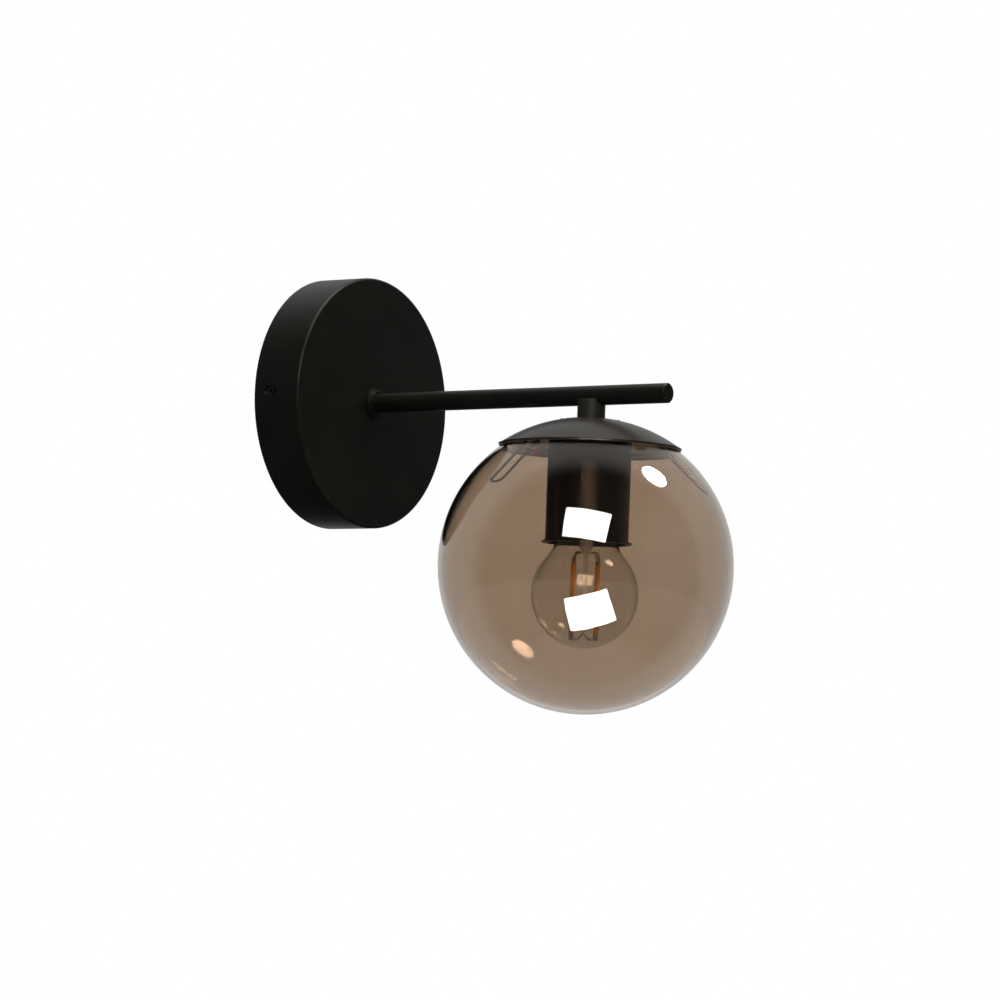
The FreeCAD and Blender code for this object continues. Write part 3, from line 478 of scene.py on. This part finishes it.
smoked_outer = clear_finish("smoked_glass", SMOKE_TINT, 1.5)
smoked_inner = clear_finish("smoked_glass_inside", SMOKE_TINT, 1.5, level=1.0)
clear_bulb = clear_finish("clear_glass", (0.88, 0.865, 0.83), 1.45)
clear_mount = clear_finish("mount_glass", (0.93, 0.92, 0.88), 1.5, transmission=0.2)


# ---------------------------------------------------------------- canopy and arm
def dress_canopy():
    """Spun cup with a small round front edge, open to the wall, with a side slot left and right."""
    low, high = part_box("canopy")
    radius = half_width("canopy")
    depth = high.y - low.y
    wall = 1.2 * MM
    edge = 1.5 * MM
    hole = half_width("arm_nipple")
    outline = [(radius - wall, 0), (radius, 0)]
    outline += arc(radius - edge, depth - edge, edge, 0, 90, 8)
    outline += [(radius - edge, depth), (hole, depth), (hole, depth - wall)]
    corner = wall + 0.6 * MM
    outline += [(radius - corner, depth - wall), (radius - wall, depth - corner)]
    shape = turned(outline, (0, 0, 0), -Y_AXIS, 256)
    slot_length = 7.5 * MM
    slot_width = 5.0 * MM
    slot_place = 10.0 * MM
    tool = rounded_bar(slot_outline(slot_length, slot_width), radius * 3)
    turn = Matrix.Rotation(math.radians(90), 4, "Y") @ Matrix.Rotation(math.radians(90), 4, "Z")
    place = Matrix.Translation((0, -slot_place, 0))
    bmesh.ops.transform(tool, matrix=place @ turn, verts=tool.verts[:])
    finished(cut(shape, [tool]), "canopy_shell", "fixture", powder, ["canopy"])


def dress_along_arm(name, node, outline, steps=96, material=powder):
    """A piece turned about the arm's axis; outline points are (radius, distance from the wall)."""
    finished(turned(outline, (0, 0, 0), -Y_AXIS, steps), name, "fixture", material, [node])


def dress_arm():
    radius = half_width("arm_tube")
    bore = radius - 1.0 * MM
    far, near = (-corner.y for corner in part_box("arm_tube"))
    dress_along_arm("arm", "arm_tube", [(bore, near), (radius, near), (radius, far), (bore, far)])
    collar = half_width("arm_collar")
    front, back = (-corner.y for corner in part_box("arm_collar"))
    neck = 6.5 * MM
    step = back + 1.7 * MM
    dress_along_arm("collar", "arm_collar", eased([
        (radius + 0.05 * MM, back), (collar, back), (collar, step),
        (neck, step), (neck, front), (radius + 0.05 * MM, front)], 0.35 * MM))
    end, foot = (-corner.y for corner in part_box("arm_end_cap"))
    plug = radius - 1.05 * MM
    dress_along_arm("end_cap", "arm_end_cap", eased([
        (0, foot), (plug, foot), (plug, far), (radius, far), (radius, end - 0.5 * MM),
        (radius - 0.5 * MM, end), (0, end)], 0.12 * MM))


def dress_stem():
    """Short tube coped at its top to wrap the lower half of the arm."""
    low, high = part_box("stem")
    radius = half_width("stem")
    bore = NIPPLE_RADIUS + 0.1 * MM
    shape = turned([(bore, low.z), (radius, low.z), (radius, high.z + 2 * MM), (bore, high.z + 2 * MM)],
                   LAMP_AXIS, Z_AXIS, 128)
    block = 40 * MM
    reach = Y_AXIS * 30 * MM
    clearance = 0.05 * MM
    arm = rod(LAMP_AXIS - reach, LAMP_AXIS + reach, half_width("arm_tube") + clearance, 128)
    top = bmesh.new()
    bmesh.ops.create_cube(top, size=block)
    bmesh.ops.translate(top, vec=LAMP_AXIS + Z_AXIS * (high.z + block / 2), verts=top.verts[:])
    finished(cut(shape, [arm, top]), "stem_tube", "fixture", stem_paint_painted_sheen, ["stem"])


# ---------------------------------------------------------------- domed cap and globe
def dress_dome():
    """Spun cap with a flat seat, a rolled lower edge and three clip slots."""
    outer = DOME_RADIUS
    inner = DOME_RADIUS - DOME_WALL
    rim_inner = RIM_RADIUS - DOME_WALL
    bore = NIPPLE_RADIUS + 0.1 * MM
    seat_angle = math.degrees(math.acos(SEAT_RADIUS / outer))
    rim_angle = math.degrees(math.acos(RIM_RADIUS / outer))
    inner_seat = math.degrees(math.acos(SEAT_RADIUS / inner))
    inner_rim = math.degrees(math.acos(rim_inner / inner))
    outline = [(bore, DOME_HIGH)]
    outline += arc(0, DOME_HEIGHT, outer, seat_angle, rim_angle, 40)
    outline += [(RIM_RADIUS, DOME_HEIGHT + outer * math.sin(math.radians(rim_angle)))]
    outline += [(RIM_RADIUS + LIP_BULGE, DOME_LOW + LIP_HEIGHT), (RIM_RADIUS, DOME_LOW + LIP_ROUND)]
    outline += [(RIM_RADIUS - LIP_ROUND, DOME_LOW), (rim_inner, DOME_LOW)]
    outline += arc(0, DOME_HEIGHT, inner, inner_rim, inner_seat, 40)
    outline += [(SEAT_RADIUS, DOME_HIGH - DOME_WALL), (bore, DOME_HIGH - DOME_WALL)]
    shape = turned(outline, GLOBE, Z_AXIS, 224)
    tools = []
    for index in range(CLIPS):
        tool = bmesh.new()
        bmesh.ops.create_cube(tool, size=1.0)
        size = Matrix.Diagonal((*CLIP_SLOT_SIZE, 1))
        turn = Matrix.Rotation(math.radians(CLIP_FIRST + 360 / CLIPS * index), 4, "Z")
        place = Matrix.Translation(GLOBE + Z_AXIS * DOME_HIGH) @ turn
        matrix = place @ Matrix.Translation((CLIP_SLOT_PLACE, 0, 0)) @ size
        bmesh.ops.transform(tool, matrix=matrix, verts=tool.verts[:])
        tools.append(tool)
    finished(cut(shape, tools), "domed_cap", "fixture", dome_paint, ["dome_cap"])


def dress_globe():
    """Blown glass globe with an even wall and a flat ground mouth."""
    mouth_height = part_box("globe")[1].z - GLOBE.z
    inner = GLOBE_RADIUS - GLASS_WALL
    outer_end = math.degrees(math.asin(mouth_height / GLOBE_RADIUS))
    inner_end = math.degrees(math.asin(mouth_height / inner))
    outline = arc(0, 0, GLOBE_RADIUS, -90, outer_end, 96)
    outline += [(math.sqrt(GLOBE_RADIUS ** 2 - mouth_height ** 2), mouth_height)]
    outline += arc(0, 0, inner, inner_end, -90, 96)
    outline += [(0, -inner)]
    shape = turned(outline, GLOBE, Z_AXIS, 192, closed=False)
    for face in shape.faces:
        if (face.calc_center_median() - GLOBE).length < GLOBE_RADIUS - GLASS_WALL / 2:
            face.material_index = 1
    piece = finished(shape, "glass_globe", "globe_body", smoked_outer, ["globe"])
    piece.data.materials.append(smoked_inner)


# ---------------------------------------------------------------- lampholder
def dress_lampholder():
    low, high = (corner.z - GLOBE.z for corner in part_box("lampholder_cup"))
    lip = half_width("lampholder_cup")
    radius = lip - 1.75 * MM
    wall = 0.8 * MM
    bore = NIPPLE_RADIUS + 0.1 * MM
    outline = eased([
        (bore, high), (radius, high), (radius, low + 0.9 * MM), (lip, low + 0.9 * MM), (lip, low),
        (radius - wall, low), (radius - wall, high - wall), (bore, high - wall)], 0.3 * MM)
    finished(turned(outline, GLOBE, Z_AXIS, 160), "holder_cup", "fixture", cup_paint,
             ["lampholder_cup"])


# ---------------------------------------------------------------- bulb
def dress_bulb():
    low, high = (corner.z - GLOBE.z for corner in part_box("bulb_envelope"))
    radius = half_width("bulb_envelope")
    centre = low + radius
    glass = 0.7 * MM
    neck = 13.2 * MM
    shoulder_turn = 40
    shoulder = math.radians(shoulder_turn)
    bend = (radius * math.cos(shoulder) - neck) / (1 - math.cos(shoulder))
    neck_height = centre + (radius + bend) * math.sin(shoulder)
    seat = half_width("bulb_cap") - 0.45 * MM
    cap_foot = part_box("bulb_cap")[0].z - GLOBE.z
    neck_top = cap_foot - 0.3 * MM
    outline = arc(0, centre, radius, -90, shoulder_turn, 56)
    outline += arc(neck + bend, neck_height, bend, 180 + shoulder_turn, 180, 24)
    outline += [(neck, neck_height), (neck, neck_top), (seat, cap_foot), (seat, high)]
    outline += [(seat - glass, high), (seat - glass, cap_foot), (neck - glass, neck_top)]
    outline += arc(neck + bend, neck_height, bend + glass, 180, 180 + shoulder_turn, 24)
    outline += arc(0, centre, radius - glass, shoulder_turn, -90, 56)
    outline += [(0, centre - radius + glass)]
    shape = turned(outline, GLOBE, Z_AXIS, 128, closed=False)
    finished(shape, "bulb_glass", "bulb", clear_bulb, ["bulb_envelope"], sharp=50)


def dress_bulb_cap():
    """Thin rolled cap with a round-bottomed screw thread, as a one-start helix."""
    low, high = (corner.z - GLOBE.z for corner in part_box("bulb_cap"))
    radius = half_width("bulb_cap")
    shoulder = high - 3.0 * MM
    top_radius = 8.0 * MM
    wall = 0.35 * MM
    rows = 96
    plain = 3.5 * MM
    pitch = 3.6 * MM
    depth = 1.1 * MM
    outline = [(radius, low + (shoulder - low) * row / rows) for row in range(rows + 1)]
    outline += [(top_radius, high), (top_radius, high - wall), (radius - wall * 1.5, shoulder - wall)]
    outline += [(radius - wall, low)]
    shape = turned(outline, GLOBE, Z_AXIS, 96)
    for vert in shape.verts:
        place = vert.co - GLOBE
        out = math.hypot(place.x, place.y)
        if out < radius - wall * 0.5 or place.z < low + plain:
            continue
        turn = math.atan2(place.y, place.x) / math.tau
        wave = 0.5 - 0.5 * math.cos(math.tau * ((place.z - low) / pitch - turn))
        fade = min(1.0, (place.z - low - plain) / (1.5 * MM), max(0.0, (high - place.z) / (2.5 * MM)))
        share = 1 - depth * wave * fade / out
        vert.co = GLOBE + Vector((place.x * share, place.y * share, place.z))
    finished(shape, "screw_cap", "bulb", nickel, ["bulb_cap"], sharp=60)


def dress_filaments():
    """Coated filament sticks with a flat metal tab crimped on each end."""
    low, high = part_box("bulb_filaments")
    centre = middle("bulb_filaments")
    reach = (high.x - low.x) / 2
    stick_radius = 0.8 * MM
    spread = (reach - stick_radius) / math.cos(math.radians(FILAMENT_TURN))
    tip_radius = stick_radius * 0.8
    tip = 0.8 * MM
    tip_edge = 0.9 * MM
    full = 1.6 * MM
    tab_size = (0.45 * MM, 1.3 * MM, 4.0 * MM)
    tabs = []
    sticks = []
    for index in range(FILAMENTS):
        turn = math.radians(FILAMENT_TURN + 360 / FILAMENTS * index)
        out = Vector((math.cos(turn), math.sin(turn), 0))
        spot = centre + out * spread
        stick = turned([(0, low.z + tip), (tip_radius, low.z + tip_edge),
                        (stick_radius, low.z + full), (stick_radius, high.z - full),
                        (tip_radius, high.z - tip_edge), (0, high.z - tip)],
                       (spot.x, spot.y, 0), Z_AXIS, 20, closed=False)
        sticks.append(stick)
        for end, way in ((low.z, -1), (high.z, 1)):
            tab = bmesh.new()
            bmesh.ops.create_cube(tab, size=1.0)
            bmesh.ops.bevel(tab, geom=tab.edges[:], offset=0.15, segments=2, profile=0.5,
                            affect="EDGES", material=-1)
            size = Matrix.Diagonal((*tab_size, 1))
            place = Matrix.Translation((spot.x, spot.y, end)) @ Matrix.Rotation(turn, 4, "Z")
            bmesh.ops.transform(tab, matrix=place @ size, verts=tab.verts[:])
            tabs.append(tab)
    finished(merged(sticks), "filament_sticks", "bulb", amber, ["bulb_filaments"])
    finished(merged(tabs), "filament_tabs", "bulb", support)


# ---------------------------------------------------------------- carried-over nodes
CARRIED = {
    "mounting_bracket": zinc,
    "canopy_side_screws": black_oxide,
    "earth_washer": zinc,
    "earth_screw": brass,
    "terminal_block": nylon,
    "arm_nipple": zinc,
    "arm_washer": zinc,
    "arm_lock_nut": zinc,
    "head_nipple": zinc,
    "head_spacer": zinc,
    "spring_clips": spring_wire,
    "dome_earth_stud": zinc,
    "dome_earth_nut": zinc,
    "earth_ring_terminal": zinc,
    "earth_sleeve": vinyl,
    "lampholder_body": ceramic,
    "lampholder_shell": brass,
    "lampholder_contact": brass,
    "live_lead": brown_vinyl,
    "neutral_lead": blue_vinyl,
    "bulb_insulator": vitrite,
    "bulb_contact": solder,
    "bulb_mount": clear_mount,
    "bulb_support_wires": support,
}


def dress_carried():
    """Give each node that stays its own finish."""
    for node, material in CARRIED.items():
        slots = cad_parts[node].data.materials
        slots.clear()
        slots.append(material)


# ---------------------------------------------------------------- studio
def back_vector(turn, rise):
    """From the object towards a camera at that turn and rise."""
    return Vector((math.sin(turn) * math.cos(rise), -math.cos(turn) * math.cos(rise), math.sin(rise)))


def camera_axes():
    """The camera's right, up and back vectors, before it goes under the arm."""
    back = back_vector(CAMERA_TURN + LOOK_TURN, CAMERA_RISE + LOOK_RISE)
    right = Vector((math.cos(CAMERA_TURN + LOOK_TURN), math.sin(CAMERA_TURN + LOOK_TURN), 0))
    up = back.cross(right)
    cos, sin = math.cos(CAMERA_ROLL), math.sin(CAMERA_ROLL)
    return right * cos + up * sin, up * cos - right * sin, back


def make_camera():
    right, up, back = camera_axes()
    place = GLOBE + back_vector(CAMERA_TURN, CAMERA_RISE) * CAMERA_DISTANCE
    turn = Matrix((right, up, back)).transposed().to_4x4()
    under = Matrix.Rotation(VIEW_UNDER_ARM, 4, "Y")
    data = bpy.data.cameras.new("camera")
    data.lens = CAMERA_LENS
    data.sensor_width = 36.0
    data.clip_start = 0.05
    camera = bpy.data.objects.new("camera", data)
    bpy.context.scene.collection.objects.link(camera)
    camera.matrix_world = under @ Matrix.Translation(place) @ turn
    bpy.context.scene.camera = camera


def lamp(name, right_up_back, distance, size, radiance, colour=WARM, disk=False, roll=0.0, seen_by=None):
    """An area lamp that faces the globe, placed by a direction in the camera's right, up and back."""
    axes = camera_axes()
    heading = sum((axis * share for axis, share in zip(axes, right_up_back)), Vector()).normalized()
    data = bpy.data.lights.new(name, "AREA")
    data.shape = "DISK" if disk else "RECTANGLE"
    data.size = size[0]
    data.size_y = size[1]
    area = size[0] * size[1] * (math.pi / 4 if disk else 1.0)
    data.energy = radiance * math.pi * area
    data.color = colour
    light = bpy.data.objects.new(name, data)
    bpy.context.scene.collection.objects.link(light)
    light.location = GLOBE + heading * distance
    side = axes[0] - heading * axes[0].dot(heading)
    side.normalize()
    side = Matrix.Rotation(math.radians(roll), 3, heading) @ side
    light.rotation_mode = "QUATERNION"
    light.rotation_quaternion = Matrix((side, heading.cross(side), heading)).transposed().to_quaternion()
    light.visible_camera = False
    if seen_by:
        light.light_linking.receiver_collection = seen_by
    return light


def linked(name, pieces):
    """A collection of the pieces that a lamp reaches."""
    collection = bpy.data.collections.new(name)
    for piece in pieces:
        collection.objects.link(bpy.data.objects[piece])
    return collection


def make_lamps():
    """A softbox and a round lamp over the camera; glass also shows them as bright shapes."""
    globe_only = linked("globe_only", ["glass_globe"])
    bulb_only = linked("bulb_only", ["bulb_glass"])
    clear = ("glass_globe", "bulb_glass", "bulb_mount", "globe", "bulb_envelope")
    solid_pieces = linked("solid_pieces", [piece.name for piece in bpy.context.scene.objects
                                           if piece.type == "MESH" and piece.name not in clear])
    softbox = (-0.030, 0.492, 0.870)
    low_softbox = (0.059, -0.595, 0.802)
    round_lamp = (0.569, 0.819, -0.064)
    soft_size = (0.87, 0.61)
    low_size = (0.88, 0.70)
    round_size = (0.37, 0.37)
    overhead = (0.1, 1.0, 0.12)
    overhead_size = (1.7, 1.5)
    soft_roll = -8
    low_roll = 16
    lamp("softbox", softbox, LAMP_DISTANCE, soft_size, 3.4, roll=soft_roll)
    lamp("round_lamp", round_lamp, LAMP_DISTANCE, round_size, 9.0, disk=True)
    lamp("overhead", overhead, OVERHEAD_DISTANCE, overhead_size, 2.0, seen_by=solid_pieces)
    lamp("softbox_in_globe", softbox, GLINT_DISTANCE, soft_size, 23.0, roll=soft_roll,
         seen_by=globe_only)
    lamp("low_softbox_in_globe", low_softbox, GLINT_DISTANCE, low_size, 40.0, WHITE, roll=low_roll,
         seen_by=globe_only)
    lamp("round_lamp_in_globe", round_lamp, GLINT_DISTANCE, round_size, 500.0, WHITE, disk=True,
         seen_by=globe_only)
    lamp("round_lamp_in_bulb", round_lamp, BULB_GLINT_DISTANCE, round_size, 60.0, disk=True,
         seen_by=bulb_only)


def make_world():
    """White behind the object for the eye and through glass; gloss sees a pale sweep behind and a dim room.

    Sharp reflections, as on glass, see the sweep reach further round than soft ones, as on paint, do.
    They also see a pale patch below and another on the right.
    """
    world = bpy.data.worlds.new("studio")
    bpy.context.scene.world = world
    world.use_nodes = True
    tree = world.node_tree
    background = tree.nodes["Background"]
    background.inputs["Color"].default_value = (1, 1, 1, 1)
    path = tree.nodes.new("ShaderNodeLightPath")
    place = tree.nodes.new("ShaderNodeTexCoord")
    right, up, back = camera_axes()

    def sweep(heading, first_turn, last_turn, level):
        """Pale within a cone about a heading, dim outside it; turns are degrees from the heading."""
        facing = add_node(tree, "ShaderNodeVectorMath", operation="DOT_PRODUCT")
        facing.inputs[1].default_value = heading.normalized()
        link(tree, place, "Generated", facing, 0)
        edge = add_node(tree, "ShaderNodeMapRange", interpolation_type="SMOOTHSTEP",
                        From_Min=math.cos(math.radians(last_turn)),
                        From_Max=math.cos(math.radians(first_turn)),
                        To_Min=DIM_ROOM, To_Max=level)
        tree.links.new(facing.outputs["Value"], edge.inputs["Value"])
        return edge.outputs["Result"]

    def mixed(share, low, high):
        node = add_node(tree, "ShaderNodeMix", data_type="FLOAT")
        for entry, value in ((0, share), (2, low), (3, high)):
            if isinstance(value, float):
                node.inputs[entry].default_value = value
            else:
                tree.links.new(value, node.inputs[entry])
        return node.outputs[0]

    def maths(operation, first, second):
        node = add_node(tree, "ShaderNodeMath", operation=operation)
        for entry, value in enumerate((first, second)):
            if isinstance(value, float):
                node.inputs[entry].default_value = value
            else:
                tree.links.new(value, node.inputs[entry])
        return node.outputs[0]

    soft_sweep = sweep(up * 0.45 - back - right * 0.1, 30.0, 60.0, SOFT_SWEEP)
    sharp_sweep = sweep(up * 0.17 - back, 74.0, 97.0, SHARP_SWEEP)
    below = sweep(-up, 24.0, 40.0, PALE_BELOW)
    beside = sweep(right + back * 0.25 + up * 0.15, 8.0, 48.0, PALE_RIGHT)
    sharp_room = maths("MAXIMUM", maths("MAXIMUM", sharp_sweep, below), beside)
    gloss = mixed(path.outputs["Is Singular Ray"], soft_sweep, sharp_room)
    bounced = maths("ADD", path.outputs["Glossy Depth"], path.outputs["Diffuse Depth"])
    direct = maths("LESS_THAN", bounced, 0.5)
    glossy = maths("GREATER_THAN", path.outputs["Glossy Depth"], 0.5)
    lit = mixed(glossy, DIFFUSE_ROOM, gloss)
    tree.links.new(mixed(direct, lit, 1.0), background.inputs["Strength"])


def make_floor():
    """Plain pale floor under the light, white where it fades out."""
    shape = bmesh.new()
    bmesh.ops.create_circle(shape, cap_ends=True, radius=3.2, segments=96)
    mesh = bpy.data.meshes.new("floor")
    shape.to_mesh(mesh)
    shape.free()
    material = bpy.data.materials.new("pale_floor")
    material.use_nodes = True
    tree = material.node_tree
    tree.nodes.clear()
    output = tree.nodes.new("ShaderNodeOutputMaterial")
    paint = add_node(tree, "ShaderNodeBsdfDiffuse", Color=(0.82, 0.82, 0.81, 1))
    glow = add_node(tree, "ShaderNodeEmission", Color=(1, 1, 1, 1), Strength=1.0)
    path = tree.nodes.new("ShaderNodeLightPath")
    seen = add_node(tree, "ShaderNodeMath", operation="MAXIMUM")
    fade = tree.nodes.new("ShaderNodeTexCoord")
    reach = add_node(tree, "ShaderNodeVectorMath", operation="LENGTH")
    spread = add_node(tree, "ShaderNodeMapRange", interpolation_type="SMOOTHSTEP",
                      From_Min=0.3, From_Max=1.6, To_Min=0.55, To_Max=1.0)
    amount = add_node(tree, "ShaderNodeMath", operation="MULTIPLY")
    mixed = tree.nodes.new("ShaderNodeMixShader")
    tree.links.new(path.outputs["Is Camera Ray"], seen.inputs[0])
    tree.links.new(path.outputs["Is Transmission Ray"], seen.inputs[1])
    tree.links.new(fade.outputs["Object"], reach.inputs[0])
    tree.links.new(reach.outputs["Value"], spread.inputs["Value"])
    tree.links.new(spread.outputs["Result"], amount.inputs[0])
    tree.links.new(seen.outputs[0], amount.inputs[1])
    tree.links.new(amount.outputs[0], mixed.inputs[0])
    tree.links.new(paint.outputs[0], mixed.inputs[1])
    tree.links.new(glow.outputs[0], mixed.inputs[2])
    tree.links.new(mixed.outputs[0], output.inputs["Surface"])
    mesh.materials.append(material)
    floor = bpy.data.objects.new("floor", mesh)
    bpy.context.scene.collection.objects.link(floor)
    floor.location = (0, GLOBE.y, -0.9)
    floor.visible_glossy = False


dress_canopy()
dress_arm()
dress_stem()
dress_dome()
dress_globe()
dress_lampholder()
dress_bulb()
dress_bulb_cap()
dress_filaments()
dress_carried()
make_camera()
make_world()
make_lamps()
make_floor()
bpy.context.scene.view_settings.view_transform = "Standard"

bpy.context.view_layer.update()
